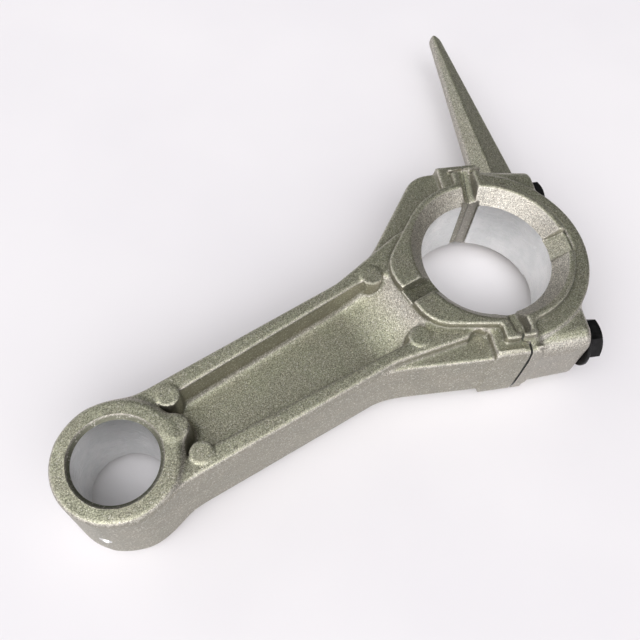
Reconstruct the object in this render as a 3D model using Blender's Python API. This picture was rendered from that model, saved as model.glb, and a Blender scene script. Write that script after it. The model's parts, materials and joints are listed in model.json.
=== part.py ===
"""Two-piece connecting rod of a small single-cylinder engine, bolted up.

Everything is modelled about the centre of the crank-pin bore: +X runs from the
piston-pin eye to the big end, +Z is the crank's axis, and Z = 0 is the middle of
the thickness. The cap has a frame of its own, turned by CAP_ANGLE: its X is the
bolts' axis and its Y lies in the parting plane. At the end the assembly is moved
so that its origin is the bottom centre of its box. Lengths are in metres.
"""
import math

import bmesh
import bpy
from mathutils import Matrix, Vector

# Bores and centres
CENTRE_DISTANCE = 0.110
CRANK_BORE_RADIUS = 0.018
PIN_BORE_RADIUS = 0.010
CAP_ANGLE = math.radians(-23.4)

# Half thicknesses, measured from the middle plane
BOSS_HALF = 0.0135
EYE_HALF = 0.0125
CAP_RING_HALF = 0.0117
PAD_HALF = 0.0116
FLANGE_HALF = 0.0113
JOINT_HALF = 0.0112
SHOULDER_HALF = 0.0090
WEB_HALF = 0.0040

# Piston-pin eye
EYE_RADIUS = 0.0146
EYE_EDGE = 0.0016
PIN_CHAMFER = 0.0009
TAB_RADIUS = 0.0033
TAB_OFFSET = 0.0152
OIL_HOLE_RADIUS = 0.0012
OIL_HOLE_MOUTH = 0.0022
OIL_HOLE_ANGLE = math.radians(-134)

# Big end
BOSS_RADIUS = 0.0233
BOSS_FRONT = 0.0276
CAP_RING_RADIUS = 0.0275
BAND_DEPTH = 0.00435
BAND_WIDTH = 0.0036
SLOT_DEPTH = 0.0011
CAP_SLOT_HALF = 0.0036
ROD_SLOT_FLOOR = 0.0100
ROD_SLOT_HALF = 0.0024
CAST_EDGE = 0.0010

# Beam: place, half width and corner radius of its outer edge from boss to eye
BEAM_EDGE = [(-0.0180, 0.0184, 0), (-0.0340, 0.0150, 0.012), (-0.0410, 0.0136, 0.020),
             (-0.0985, 0.0126, 0.040), (-0.1100, 0.0145, 0)]
POCKET_END_RADIUS = 0.0160
POCKET_END_ANGLE = 26.6
POCKET_START = -0.100
RAMP_START = -0.0440
RAMP_RADIUS = 0.022
# Ejector pads: place, distance off the middle line and radius
PADS = [(-0.0927, 0.0083, 0.0026), (-0.0317, 0.0107, 0.0029)]

# Parting plane, bolts and what they clamp
JOINT_GAP = 0.0003
BOLT_OFFSET = 0.024
BOLT_SEAT = 0.0208
BOLT_REACH = 0.0126
BOLT_RADIUS = 0.0037
TAPPED_RADIUS = 0.0040
TAPPED_DEPTH = 0.0138
CLEARANCE_RADIUS = 0.0042
SPOT_FACE_RADIUS = 0.0080
BOLT_BOSS_HALF = 0.0108
BOLT_BOSS_WIDTH = 0.0300
BOLT_BOSS_START = 0.014
BOLT_BOSS_ROUND = 0.005
JOINT_WIDTH = 0.0312
JOINT_INNER = 0.020
STEP_INNER = 0.0287
STEP_HEIGHT = {1: 0.0010, -1: 0.0024}
ROD_JOINT_LENGTH = 0.0070
CAP_JOINT_LENGTH = 0.0060
SHOULDER_WIDTH = 0.0303
SHOULDER_CORNER = -0.0140
SHOULDER_ROUND = 0.009
JOINT_EDGE = 0.0007

# Bolt head
HEX_ACROSS_FLATS = 0.010
HEX_TOP = 0.0054
HEX_EDGE = 0.0006
THREAD_LEAD_IN = 0.0008
HEAD_FLANGE_RADIUS = 0.0071
HEAD_FLANGE_HEIGHT = 0.0014
HEAD_FLANGE_RIM = 0.0008

# Oil dipper, along the cap's Y
DIPPER_ROOT = 0.027
DIPPER_TIP = 0.099
DIPPER_TIP_ROUND = 0.003
# At the root and at the tip: half width, centre in X, half thickness at the ridge
# and half thickness at the edges
DIPPER_AT_ROOT = (0.0072, 0.0145, 0.0046, 0.0016)
DIPPER_AT_TIP = (0.0020, 0.0122, 0.0019, 0.0009)
DIPPER_CREST = 0.12   # how far the ridge lies off the blade's centre, in half widths

# Reliefs across the joint, in the cap's frame
RELIEF_ROD_SIDE = -0.0018
RELIEF_CAP_SIDE = 0.0026
RELIEF_START = 0.0165
RELIEF_END = 0.0272
RELIEF_FLOOR = 0.0106
GROOVE_ROD_SIDE = -0.0020
GROOVE_CAP_SIDE = 0.0030
GROOVE_RADIUS = 0.0186

OVER = 0.004          # how far a cutter runs past what it cuts
FAR = 0.060           # beyond the big end, for cutters that take a whole side away
MIRRORED = (1, -1)

# Round pieces' facets; none of the big-end counts is a multiple of four, so that
# no two rings have corners at the same place on the parting plane
BORE_STEPS = 74
RING_STEPS = 70
BOSS_STEPS = 66
EYE_STEPS = 64
BOLT_STEPS = 28


def in_rod_frame(x, y):
    """A point of the cap's frame in the rod's frame."""
    turned = Matrix.Rotation(CAP_ANGLE, 3, "Z") @ Vector((x, y, 0))
    return turned.x, turned.y


def arc(centre, radius, start, end, steps):
    """Points on a circular arc, both ends included, angles in degrees."""
    angles = [math.radians(start + (end - start) * i / steps) for i in range(steps + 1)]
    return [(centre[0] + radius * math.cos(a), centre[1] + radius * math.sin(a)) for a in angles]


def rounded(corners, steps=5):
    """Closed outline through corners (x, y, radius), each rounded by its radius."""
    points = []
    for i, (x, y, radius) in enumerate(corners):
        here = Vector((x, y))
        if not radius:
            points.append((x, y))
            continue
        back = (Vector(corners[i - 1][:2]) - here).normalized()
        ahead = (Vector(corners[(i + 1) % len(corners)][:2]) - here).normalized()
        half = back.angle(ahead) / 2
        centre = here + (back + ahead).normalized() * radius / math.sin(half)
        first = here + back * radius / math.tan(half) - centre
        last = here + ahead * radius / math.tan(half) - centre
        turn = first.angle_signed(last)
        for k in range(steps + 1):
            swept = Matrix.Rotation(-turn * k / steps, 2) @ first
            points.append(tuple(centre + swept))
    return points


def mesh_from(bm):
    """Turn a finished bmesh into a scratch object."""
    bmesh.ops.recalc_face_normals(bm, faces=bm.faces)
    mesh = bpy.data.meshes.new("shape")
    bm.to_mesh(mesh)
    bm.free()
    shape = bpy.data.objects.new("shape", mesh)
    bpy.context.scene.collection.objects.link(shape)
    return shape


def prism(outline, low, high, edge=0.0):
    """An outline in X and Y drawn out from Z = low to high, with rounded rims."""
    bm = bmesh.new()
    base = bm.faces.new([bm.verts.new((x, y, low)) for x, y in outline])
    drawn = bmesh.ops.extrude_face_region(bm, geom=[base])["geom"]
    top = [v for v in drawn if isinstance(v, bmesh.types.BMVert)]
    bmesh.ops.translate(bm, vec=(0, 0, high - low), verts=top)
    if edge:
        rims = [e for e in bm.edges if abs(e.verts[0].co.z - e.verts[1].co.z) < edge / 10]
        bmesh.ops.bevel(bm, geom=rims, offset=edge, segments=2, profile=0.5, affect="EDGES")
    return mesh_from(bm)


def turned(profile, steps):
    """A closed profile of (radius, height) spun about Z; its ends lie on the axis."""
    bm = bmesh.new()
    verts = [bm.verts.new((radius, 0, height)) for radius, height in profile]
    edges = [bm.edges.new(pair) for pair in zip(verts, verts[1:])]
    bmesh.ops.spin(bm, geom=verts + edges, cent=(0, 0, 0), axis=(0, 0, 1),
                   angle=math.tau, steps=steps, use_merge=True)
    bmesh.ops.remove_doubles(bm, verts=bm.verts, dist=1e-6)
    return mesh_from(bm)


def cylinder(centre, radius, low, high, steps=32, edge=0.0):
    """An upright cylinder, its rims rounded by edge."""
    profile = [(0, low), (radius - edge, low), (radius, low + edge),
               (radius, high - edge), (radius - edge, high), (0, high)]
    if not edge:
        profile = [(0, low), (radius, low), (radius, high), (0, high)]
    shape = turned(profile, steps)
    shape.data.transform(Matrix.Translation((centre[0], centre[1], 0)))
    return shape


def block(low, high):
    """A box between two corners."""
    outline = [(low[0], low[1]), (high[0], low[1]), (high[0], high[1]), (low[0], high[1])]
    return prism(outline, low[2], high[2])


def laid_along_x(shape, y=0.0):
    """Lay a shape made along Z down along X, at the given Y."""
    shape.data.transform(Matrix.Translation((0, y, 0)) @ Matrix.Rotation(math.pi / 2, 4, "Y"))
    return shape


def drawn_along_y(profile, low, high):
    """A profile in X and Z drawn out from Y = low to high."""
    shape = prism(profile, -high, -low)
    shape.data.transform(Matrix.Rotation(math.pi / 2, 4, "X"))
    return shape


def turned_to_rod(shape):
    """Turn a shape made in the cap's frame into the rod's frame."""
    shape.data.transform(Matrix.Rotation(CAP_ANGLE, 4, "Z"))
    return shape


def flipped(shape):
    """The same shape on the underside."""
    shape.data.transform(Matrix.Scale(-1, 4, (0, 0, 1)))
    shape.data.flip_normals()
    return shape


def combine(body, operation, tool):
    """Apply one exact Boolean to body and throw the tool away."""
    modifier = body.modifiers.new("combine", "BOOLEAN")
    modifier.operation = operation
    modifier.solver = "EXACT"
    modifier.object = tool
    bpy.context.view_layer.update()
    evaluated = body.evaluated_get(bpy.context.evaluated_depsgraph_get())
    result = bpy.data.meshes.new_from_object(evaluated)
    body.modifiers.clear()
    body.data = result
    bpy.data.objects.remove(tool)


def add(body, tool):
    combine(body, "UNION", tool)


def cut(body, tool):
    combine(body, "DIFFERENCE", tool)


def crank_bore():
    """The crank-pin bore with the sloped cast band that opens it at both faces."""
    machined = BOSS_HALF - BAND_DEPTH
    slope = BAND_WIDTH / BAND_DEPTH
    end = BOSS_HALF + OVER
    mouth = CRANK_BORE_RADIUS + (end - machined) * slope
    return turned([(0, -end), (mouth, -end), (CRANK_BORE_RADIUS, -machined),
                   (CRANK_BORE_RADIUS, machined), (mouth, end), (0, end)], BORE_STEPS)


def boss_outline():
    """The rod's thrust boss: a ring that reaches out square towards the beam."""
    reach = 121.5
    start = Vector(arc((0, 0), BOSS_RADIUS, reach, reach, 1)[0])
    slope = math.tan(math.radians(reach - 90))
    shoulder = start.y - (start.x + BOSS_FRONT) * slope
    front = [(-BOSS_FRONT, shoulder, 0.0105), (-BOSS_FRONT, -shoulder, 0.0105)]
    ring = arc((0, 0), BOSS_RADIUS, -reach, reach, 48)
    return rounded(front + [(x, y, 0) for x, y in ring])


def beam_outline():
    """Outer edge of the beam's flanges, from the eye to the boss."""
    lower = [(x, -y, radius) for x, y, radius in reversed(BEAM_EDGE)]
    width = BEAM_EDGE[0][1]
    return rounded([(0, width, 0)] + BEAM_EDGE + lower + [(0, -width, 0)])


def shoulder_outline():
    """The lower step that carries the bolts, each side parallel to them."""
    upper = [(*in_rod_frame(OVER, SHOULDER_WIDTH), 0),
             (*in_rod_frame(SHOULDER_CORNER, SHOULDER_WIDTH), SHOULDER_ROUND),
             (-0.0335, 0.0136, 0.040), (-0.080, 0.0123, 0)]
    lower = [(-0.080, -0.0123, 0), (-0.0440, -0.0136, 0.040),
             (*in_rod_frame(OVER, -SHOULDER_WIDTH), 0)]
    return rounded(upper + lower)


def pocket_outline():
    """Plan of the web's recess: round the eye at one end, to the boss at the other."""
    eye = arc((-CENTRE_DISTANCE, 0), POCKET_END_RADIUS, -POCKET_END_ANGLE,
              POCKET_END_ANGLE, 10)
    boss_end = [(-0.0360, 0.0099, 0.002), (-0.0275, 0.0086, 0),
                (-0.0275, -0.0086, 0), (-0.0360, -0.0099, 0.002)]
    return rounded([(x, y, 0) for x, y in eye] + boss_end)


def web_pocket():
    """One side's recess: flat over the web, then rising to the boss."""
    above = BOSS_HALF + OVER
    ramp = arc((RAMP_START, WEB_HALF + RAMP_RADIUS), RAMP_RADIUS, -90, -45, 7)
    floor = [(POCKET_START, WEB_HALF)] + ramp + [(-BOSS_FRONT, BOSS_HALF)]
    top = [(-BOSS_FRONT, above), (POCKET_START, above)]
    pocket = drawn_along_y(floor + top, -BOSS_RADIUS, BOSS_RADIUS)
    combine(pocket, "INTERSECT", prism(pocket_outline(), 0, 2 * above))
    return pocket


def ejector_pads():
    """Round pads at the four corners of the recess, through the whole thickness."""
    pads = []
    for x, y, radius in PADS:
        for side in MIRRORED:
            pads.append(cylinder((x, side * y), radius, -PAD_HALF, PAD_HALF, 24))
    return pads


def rod_joint_flange(side):
    """Raised rim of the rod beside the parting plane, in the cap's frame."""
    outer = side * JOINT_WIDTH
    inner = side * JOINT_INNER
    outline = [(-ROD_JOINT_LENGTH, inner), (-ROD_JOINT_LENGTH, outer), (OVER, outer), (OVER, inner)]
    return turned_to_rod(prism(outline[::-side], -JOINT_HALF, JOINT_HALF, JOINT_EDGE))


def relief_slot(side, face):
    """Slot across the boss where rod and cap meet, in the cap's frame."""
    low, high = sorted((side * RELIEF_START, side * RELIEF_END))
    slot = block((RELIEF_ROD_SIDE, low, RELIEF_FLOOR), (RELIEF_CAP_SIDE, high, BOSS_HALF + OVER))
    return slot if face > 0 else flipped(slot)


def bore_groove(side):
    """Shallow groove down the bore along the parting line, in the cap's frame."""
    low, high = sorted((side * (GROOVE_RADIUS - OVER), side * GROOVE_RADIUS))
    end = BOSS_HALF + OVER
    return block((GROOVE_ROD_SIDE, low, -end), (GROOVE_CAP_SIDE, high, end))


def oil_slot(direction, end, floor, half_width):
    """Radial oil slot towards +X or -X: it follows the band below its surface, then
    runs level at the floor's height."""
    top = BOSS_HALF + OVER
    slope = BAND_DEPTH / BAND_WIDTH
    machined = BOSS_HALF - BAND_DEPTH - SLOT_DEPTH
    start = CRANK_BORE_RADIUS - CAST_EDGE
    reach = CRANK_BORE_RADIUS + (floor - machined) / slope
    profile = [(start, machined - CAST_EDGE * slope), (reach, floor), (end, floor),
               (end, top), (start, top)]
    return drawn_along_y([(direction * x, z) for x, z in profile], -half_width, half_width)


def cut_joint_reliefs(body, place):
    """Cut the reliefs at both ends of the parting line and on both faces."""
    for side in MIRRORED:
        cut(body, place(bore_groove(side)))
        for face in MIRRORED:
            cut(body, place(relief_slot(side, face)))


def pin_oil_hole():
    """Countersunk oil hole through the eye's wall, pointing out along OIL_HOLE_ANGLE."""
    start = PIN_BORE_RADIUS - OVER / 2
    sink = EYE_RADIUS - (OIL_HOLE_MOUTH - OIL_HOLE_RADIUS)
    end = EYE_RADIUS + OIL_HOLE_RADIUS
    profile = [(0, start), (OIL_HOLE_RADIUS, start), (OIL_HOLE_RADIUS, sink),
               (OIL_HOLE_MOUTH + OIL_HOLE_RADIUS, end), (0, end)]
    hole = laid_along_x(turned(profile, 20))
    turn = Matrix.Rotation(OIL_HOLE_ANGLE, 4, "Z")
    hole.data.transform(Matrix.Translation((-CENTRE_DISTANCE, 0, 0)) @ turn)
    return hole


def pin_eye():
    """The piston-pin eye as a plain boss."""
    centre = (-CENTRE_DISTANCE, 0)
    return cylinder(centre, EYE_RADIUS, -EYE_HALF, EYE_HALF, EYE_STEPS, EYE_EDGE)


def pin_bore():
    """The piston-pin bore with its machined chamfers."""
    edge = EYE_HALF - PIN_CHAMFER
    end = EYE_HALF + OVER
    mouth = PIN_BORE_RADIUS + PIN_CHAMFER + OVER
    bore = turned([(0, -end), (mouth, -end), (PIN_BORE_RADIUS, -edge),
                   (PIN_BORE_RADIUS, edge), (mouth, end), (0, end)], EYE_STEPS)
    bore.data.transform(Matrix.Translation((-CENTRE_DISTANCE, 0, 0)))
    return bore


def parting_line(gap):
    """The parting line as points of the cap's frame, stepped past each bolt so that
    the cap locates and only fits one way round."""
    upper, lower = STEP_HEIGHT[1] + gap, STEP_HEIGHT[-1] + gap
    return [(upper, FAR), (upper, STEP_INNER - gap), (gap, STEP_INNER - gap),
            (gap, gap - STEP_INNER), (lower, gap - STEP_INNER), (lower, -FAR)]


def beyond_joint():
    """Everything on the cap's side of the parting line, in the rod's frame."""
    line = parting_line(-JOINT_GAP / 2)
    return turned_to_rod(prism(line + [(FAR, -FAR), (FAR, FAR)], -FAR, FAR))


def tapped_holes():
    """The two threaded bolt holes, in the rod's frame."""
    holes = []
    for side in MIRRORED:
        hole = cylinder((0, 0), TAPPED_RADIUS, -TAPPED_DEPTH, OVER, BOLT_STEPS)
        holes.append(turned_to_rod(laid_along_x(hole, side * BOLT_OFFSET)))
    return holes


def connecting_rod():
    """Beam, piston-pin eye and the rod's half of the big end, cast in one."""
    rod = prism(beam_outline(), -FLANGE_HALF, FLANGE_HALF, CAST_EDGE)
    add(rod, prism(shoulder_outline(), -SHOULDER_HALF, SHOULDER_HALF, CAST_EDGE))
    cut(rod, web_pocket())
    cut(rod, flipped(web_pocket()))
    for pad in ejector_pads():
        add(rod, pad)
    for side in MIRRORED:
        add(rod, rod_joint_flange(side))
    add(rod, prism(boss_outline(), -BOSS_HALF, BOSS_HALF))
    add(rod, pin_eye())
    tab_centre = (TAB_OFFSET - CENTRE_DISTANCE, 0)
    add(rod, cylinder(tab_centre, TAB_RADIUS, -EYE_HALF, EYE_HALF, 28))
    cut(rod, pin_bore())
    cut(rod, crank_bore())
    slot = (-1, BOSS_FRONT + CAST_EDGE, ROD_SLOT_FLOOR, ROD_SLOT_HALF)
    cut(rod, oil_slot(*slot))
    cut(rod, flipped(oil_slot(*slot)))
    cut_joint_reliefs(rod, turned_to_rod)
    cut(rod, beyond_joint())
    for hole in tapped_holes():
        cut(rod, hole)
    cut(rod, pin_oil_hole())
    return rod


def bolt_boss(side):
    """The cap's boss round one bolt, a bar along X with well-rounded outer edges."""
    half, width, radius = BOLT_BOSS_HALF, BOLT_BOSS_WIDTH, BOLT_BOSS_ROUND
    section = rounded([(BOLT_BOSS_START, -half, 0), (width, -half, radius),
                       (width, half, radius), (BOLT_BOSS_START, half, 0)])
    bar = prism(section, 0, BOLT_SEAT)
    columns = ((0, 0, 1, 0), (side, 0, 0, 0), (0, side, 0, 0), (0, 0, 0, 1))
    bar.data.transform(Matrix(columns))
    return bar


def cap_joint_flange(side):
    """Raised rim of the cap beside the parting plane."""
    outer = side * JOINT_WIDTH
    inner = side * JOINT_INNER
    outline = [(-OVER, inner), (-OVER, outer), (CAP_JOINT_LENGTH, outer), (CAP_JOINT_LENGTH, inner)]
    return prism(outline[::-side], -JOINT_HALF, JOINT_HALF, JOINT_EDGE)


def dipper_section(along):
    """Half width, centre and half thicknesses of the dipper at a distance along it."""
    t = (along - DIPPER_ROOT) / (DIPPER_TIP - DIPPER_ROOT)
    return [root + (tip - root) * t for root, tip in zip(DIPPER_AT_ROOT, DIPPER_AT_TIP)]


def dipper():
    """The cast-on oil splasher: a tapering blade with a ridge, round at its tip."""
    end = DIPPER_TIP - DIPPER_TIP_ROUND
    places = [(DIPPER_ROOT, 1), ((DIPPER_ROOT + end) / 2, 1), (end, 1)]
    for angle in (30, 50, 70, 84):
        rise, shrink = math.sin(math.radians(angle)), math.cos(math.radians(angle))
        places.append((end + DIPPER_TIP_ROUND * rise, shrink))
    bm = bmesh.new()
    rings = []
    for along, shrink in places:
        half_width, centre, ridge, rim = dipper_section(along)
        half_width, ridge, rim = half_width * shrink, ridge * shrink, rim * shrink
        crest = centre + DIPPER_CREST * half_width
        section = [(centre - half_width, -rim), (crest, -ridge), (centre + half_width, -rim),
                   (centre + half_width, rim), (crest, ridge), (centre - half_width, rim)]
        rings.append([bm.verts.new((x, along, z)) for x, z in section])
    for near, far in zip(rings, rings[1:]):
        for i in range(len(near)):
            j = (i + 1) % len(near)
            bm.faces.new((near[i], near[j], far[j], far[i]))
    bm.faces.new(rings[0])
    bm.faces.new(rings[-1])
    return mesh_from(bm)


def before_joint():
    """Everything on the rod's side of the parting line."""
    line = parting_line(JOINT_GAP / 2)
    return prism(line + [(-FAR, -FAR), (-FAR, FAR)], -FAR, FAR)


def rod_cap():
    """Big-end cap with its bolt bosses and the oil dipper, in the cap's frame."""
    cap = cylinder((0, 0), CAP_RING_RADIUS, -CAP_RING_HALF, CAP_RING_HALF, RING_STEPS,
                   CAST_EDGE)
    for side in MIRRORED:
        add(cap, bolt_boss(side))
        add(cap, cap_joint_flange(side))
    add(cap, dipper())
    add(cap, cylinder((0, 0), BOSS_RADIUS, -BOSS_HALF, BOSS_HALF, BOSS_STEPS))
    cut(cap, crank_bore())
    slot = (1, BOSS_RADIUS + CAST_EDGE, BOSS_HALF - SLOT_DEPTH, CAP_SLOT_HALF)
    cut(cap, oil_slot(*slot))
    cut(cap, flipped(oil_slot(*slot)))
    cut_joint_reliefs(cap, lambda shape: shape)
    cut(cap, before_joint())
    for side in MIRRORED:
        hole = cylinder((0, 0), CLEARANCE_RADIUS, -OVER, BOLT_SEAT + OVER, BOLT_STEPS)
        cut(cap, laid_along_x(hole, side * BOLT_OFFSET))
        spot = cylinder((0, 0), SPOT_FACE_RADIUS, BOLT_SEAT, BOLT_SEAT + 2 * OVER, BOLT_STEPS)
        cut(cap, laid_along_x(spot, side * BOLT_OFFSET))
    return cap


def hexagon():
    """The bolt head's six corners."""
    corner = HEX_ACROSS_FLATS / 2 / math.cos(math.pi / 6)
    return arc((0, 0), corner, 0, 300, 5)


def cap_bolt():
    """Flanged hexagon bolt along its own X, the joint face at X = 0."""
    seat = BOLT_SEAT + JOINT_GAP
    flange = seat + HEAD_FLANGE_HEIGHT
    body = turned([(0, -BOLT_REACH), (BOLT_RADIUS - THREAD_LEAD_IN, -BOLT_REACH),
                   (BOLT_RADIUS, THREAD_LEAD_IN - BOLT_REACH), (BOLT_RADIUS, seat),
                   (HEAD_FLANGE_RADIUS, seat), (HEAD_FLANGE_RADIUS, seat + HEAD_FLANGE_RIM),
                   (HEX_ACROSS_FLATS / 2, flange), (0, flange)], BOLT_STEPS)
    head = prism(hexagon(), seat + HEAD_FLANGE_RIM / 2, seat + HEX_TOP, HEX_EDGE)
    add(body, head)
    return laid_along_x(body)


def metal(name, colour, roughness):
    """A plain metallic material."""
    material = bpy.data.materials.new(name)
    material.use_nodes = True
    shader = material.node_tree.nodes["Principled BSDF"]
    shader.inputs["Base Color"].default_value = (*colour, 1.0)
    shader.inputs["Roughness"].default_value = roughness
    shader.inputs["Metallic"].default_value = 1.0
    material.diffuse_color = (*colour, 1.0)
    return material


def place(shape, name, material, parent, location=(0, 0, 0), turn=0.0):
    """Name a finished sub-part, give it its material and stand it in the assembly."""
    shape.name = name
    shape.data.name = name
    shape.data.materials.clear()
    shape.data.materials.append(material)
    shape.data.shade_smooth()
    shape.data.set_sharp_from_angle(angle=math.radians(30))
    shape.parent = parent
    shape.location = location
    shape.rotation_euler.z = turn
    return shape


def box_of(shapes):
    """Lowest and highest corner of several objects in the world."""
    bpy.context.view_layer.update()
    points = [shape.matrix_world @ v.co for shape in shapes for v in shape.data.vertices]
    low = Vector([min(p[i] for p in points) for i in range(3)])
    high = Vector([max(p[i] for p in points) for i in range(3)])
    return low, high


def main():
    for leftover in list(bpy.data.objects):
        bpy.data.objects.remove(leftover)
    frame = bpy.data.objects.new("crank_axis", None)
    bpy.context.scene.collection.objects.link(frame)
    cast = metal("cast_aluminium", (0.36, 0.35, 0.29), 0.5)
    cap_cast = metal("cast_aluminium_cap", (0.38, 0.37, 0.31), 0.5)
    parts = [place(connecting_rod(), "connecting_rod", cast, frame),
             place(rod_cap(), "rod_cap", cap_cast, frame, turn=CAP_ANGLE)]
    for name, side in (("cap_bolt_upper", 1), ("cap_bolt_lower", -1)):
        steel = metal("black_steel_" + name, (0.02, 0.02, 0.02), 0.4)
        axis = (*in_rod_frame(0, side * BOLT_OFFSET), 0)
        parts.append(place(cap_bolt(), name, steel, frame, axis, CAP_ANGLE))
    low, high = box_of(parts)
    frame.location = (-(low.x + high.x) / 2, -(low.y + high.y) / 2, -low.z)
    bpy.context.view_layer.update()


main()
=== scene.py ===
"""Looks for the bolted-up connecting rod: fine castings, threaded bolts, materials,
floor, light and camera.

The castings are drawn as signed distances on a grid, which gives them the rounded
rims and fillets of a die casting, and are then machined with Booleans. Shapes are
in millimetres in the rod's own frame: +X runs from the piston-pin eye to the big
end, +Z is the bores' axis, and the origin is the crank bore's centre. The cap's
frame (u, v) is turned by CAP_ANGLE: u is the bolts' axis, v lies in the parting.
Both castings are mirror images about Z = 0, so only their upper half is worked out.
"""
import json
import math

import bmesh
import bpy
import numpy as np
from mathutils import Matrix, Vector


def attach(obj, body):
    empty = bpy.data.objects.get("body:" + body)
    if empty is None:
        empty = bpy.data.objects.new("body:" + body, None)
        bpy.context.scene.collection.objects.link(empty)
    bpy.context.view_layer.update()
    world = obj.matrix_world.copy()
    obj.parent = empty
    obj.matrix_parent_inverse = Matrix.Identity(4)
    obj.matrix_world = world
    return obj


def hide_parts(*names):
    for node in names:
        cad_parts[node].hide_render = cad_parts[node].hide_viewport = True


MM = 0.001

# Step of the grid on which the castings are sampled
GRID = 0.36

# Main sizes, as in the CAD model; a HALF is a face's height above the middle plane
CENTRES = 110.0
CRANK_RADIUS = 18.0
PIN_RADIUS = 10.0
PIN_CHAMFER = 0.9
CAP_ANGLE = math.radians(-23.4)
COS, SIN = math.cos(CAP_ANGLE), math.sin(CAP_ANGLE)
BOSS_HALF = 13.5
EYE_HALF = 12.5
CAP_RING_HALF = 11.7
PAD_HALF = 11.6
FLANGE_HALF = 11.3
JOINT_HALF = 11.2
LUG_HALF = 10.8
SHOULDER_HALF = 9.0
WEB_HALF = 4.0
BOSS_RADIUS = 23.3
EYE_RADIUS = 14.6
BOLT_OFFSET = 24.0
BOLT_SEAT = 20.8
PITCH = 1.25
OIL_HOLE_ANGLE = math.radians(-134)

# The oil hole's height on the eye, and the usual rounding of a raised face's rim
OIL_HOLE_HEIGHT = -1.5
RIM = 0.35


# ---------------------------------------------------------------- distances

def arc(centre, radius, start, end, steps):
    """Points on a circular arc, both ends included, angles in degrees."""
    angles = np.radians(np.linspace(start, end, steps + 1))
    return [(centre[0] + radius * math.cos(a), centre[1] + radius * math.sin(a)) for a in angles]


def rounded(corners, steps=10):
    """Closed outline through corners (x, y, radius), each rounded by its radius."""
    points = []
    for i, (x, y, radius) in enumerate(corners):
        here = Vector((x, y))
        if not radius:
            points.append((x, y))
            continue
        back = (Vector(corners[i - 1][:2]) - here).normalized()
        ahead = (Vector(corners[(i + 1) % len(corners)][:2]) - here).normalized()
        half = back.angle(ahead) / 2
        centre = here + (back + ahead).normalized() * radius / math.sin(half)
        first = here + back * radius / math.tan(half) - centre
        last = here + ahead * radius / math.tan(half) - centre
        turn = first.angle_signed(last)
        for k in range(steps + 1):
            points.append(tuple(centre + Matrix.Rotation(-turn * k / steps, 2) @ first))
    return points


def outline_distance(points, x, y):
    """Signed distance from each (x, y) to a closed outline, negative inside."""
    nearest = np.full(np.broadcast(x, y).shape, np.inf)
    inside = np.zeros(nearest.shape, bool)
    for (ax, ay), (bx, by) in zip(points, points[-1:] + points[:-1]):
        ex, ey = bx - ax, by - ay
        if ex * ex + ey * ey < 1e-12:
            continue
        wx, wy = x - ax, y - ay
        along = np.clip((wx * ex + wy * ey) / (ex * ex + ey * ey), 0, 1)
        nearest = np.minimum(nearest, np.hypot(wx - ex * along, wy - ey * along))
        if abs(ey) > 1e-9:
            inside ^= ((ay > y) != (by > y)) & (wx < ex * wy / ey)
    return np.where(inside, -nearest, nearest).astype(np.float32)


def box_distance(x, y, low, high):
    """Signed distance to an upright rectangle."""
    dx = np.abs(x - (low[0] + high[0]) / 2) - (high[0] - low[0]) / 2
    dy = np.abs(y - (low[1] + high[1]) / 2) - (high[1] - low[1]) / 2
    outside = np.hypot(np.maximum(dx, 0), np.maximum(dy, 0))
    return outside + np.minimum(np.maximum(dx, dy), 0)


def disc(x, y, centre, radius):
    """Signed distance to a circle."""
    return np.hypot(x - centre[0], y - centre[1]) - radius


def slab(plan, height, half, edge):
    """A plan distance drawn out to height = half, its rim rounded by edge."""
    across, along = plan + edge, height - half + edge
    outside = np.hypot(np.maximum(across, 0), np.maximum(along, 0))
    return outside + np.minimum(np.maximum(across, along), 0) - edge


def join(a, b, fillet):
    """Union of two distances with a fillet where they meet."""
    blend = np.clip(0.5 + 0.5 * (b - a) / fillet, 0, 1)
    return b + (a - b) * blend - fillet * blend * (1 - blend)


def common(a, b, fillet):
    """Intersection of two distances, its edge rounded by about fillet."""
    return -join(-a, -b, fillet)


def take(a, b, fillet):
    """Distance a with b taken away, the new rim rounded by about fillet."""
    return -join(-a, b, fillet)


# ---------------------------------------------------------------- grid to mesh

def grid(low, high):
    """Sample places for a box; z runs from half a step above the middle plane."""
    axes = [np.arange(low[i], high[i], GRID, dtype=np.float32) for i in (0, 1)]
    axes.append(np.arange(GRID / 2, high[2], GRID, dtype=np.float32))
    return np.meshgrid(*axes, indexing="ij", sparse=True)


def mirrored(field):
    """The half above the middle plane with its mirror image below."""
    return np.concatenate([field[:, :, ::-1], field], axis=2)


def surface_net(field, low):
    """Closed quad mesh of the field's zero surface: one vertex in each mixed cell."""
    inside = field < 0
    strides = np.array([field.shape[1] * field.shape[2], field.shape[2], 1])
    rings, points = [], []
    for axis in range(3):
        near = tuple(slice(0, -1) if i == axis else slice(None) for i in range(3))
        far = tuple(slice(1, None) if i == axis else slice(None) for i in range(3))
        crossing = np.argwhere(inside[near] != inside[far])
        first = field[near][tuple(crossing.T)]
        second = field[far][tuple(crossing.T)]
        point = crossing.astype(float)
        point[:, axis] += first / (first - second)
        side = np.eye(3, dtype=int)[(axis + 1) % 3]
        up = np.eye(3, dtype=int)[(axis + 2) % 3]
        moves = (-side - up, -up, np.zeros(3, int), -side)
        ring = np.stack([(crossing + move) @ strides for move in moves], 1)
        ring[second < 0] = ring[second < 0][:, ::-1]
        rings.append(ring)
        points.append(np.repeat(point, 4, axis=0))
    points = np.concatenate(points)
    cells, place = np.unique(np.concatenate(rings).ravel(), return_inverse=True)
    count = np.bincount(place)
    verts = np.stack([np.bincount(place, weights=points[:, i]) / count for i in range(3)], 1)
    return np.asarray(low) + verts * GRID, place.reshape(-1, 4)


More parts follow.
